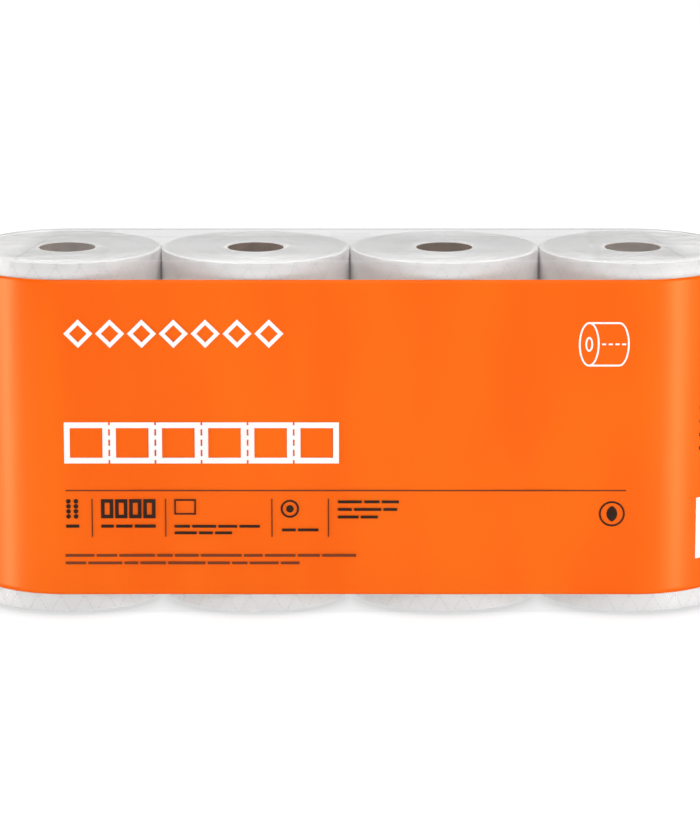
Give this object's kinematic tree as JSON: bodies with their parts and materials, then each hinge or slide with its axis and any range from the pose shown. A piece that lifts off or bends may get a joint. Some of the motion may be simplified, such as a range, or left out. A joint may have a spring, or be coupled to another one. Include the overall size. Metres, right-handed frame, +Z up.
{
  "type": "toilet paper roll pack",
  "caption": "Sealed pack of toilet paper rolls standing in two layers, wrapped in clear folded film with an orange printed band round the sides",
  "frame": {"origin": "bottom centre of the pack, on the surface that it stands on", "axes": "+X along the row of rolls, -Y towards the printed front, +Z up along the roll axes"},
  "size_m": [0.4504, 0.1144, 0.2133],
  "materials": {
    "clear_film": "smooth",
    "band_print": "smooth",
    "white_print": "smooth",
    "dark_print": "smooth",
    "tissue": "embossed",
    "core_board": "matte"
  },
  "bodies": {
    "root": {"film_wrap": "clear_film", "printed_band": "band_print", "white_marks": "white_print", "dark_marks": "dark_print", "lower_roll_1": "tissue", "lower_roll_2": "tissue", "lower_roll_3": "tissue", "lower_roll_4": "tissue", "upper_roll_1": "tissue", "upper_roll_2": "tissue", "upper_roll_3": "tissue", "upper_roll_4": "tissue", "lower_core_1": "core_board", "lower_core_2": "core_board", "lower_core_3": "core_board", "lower_core_4": "core_board", "upper_core_1": "core_board", "upper_core_2": "core_board", "upper_core_3": "core_board", "upper_core_4": "core_board"}
  },
  "joints": []
}
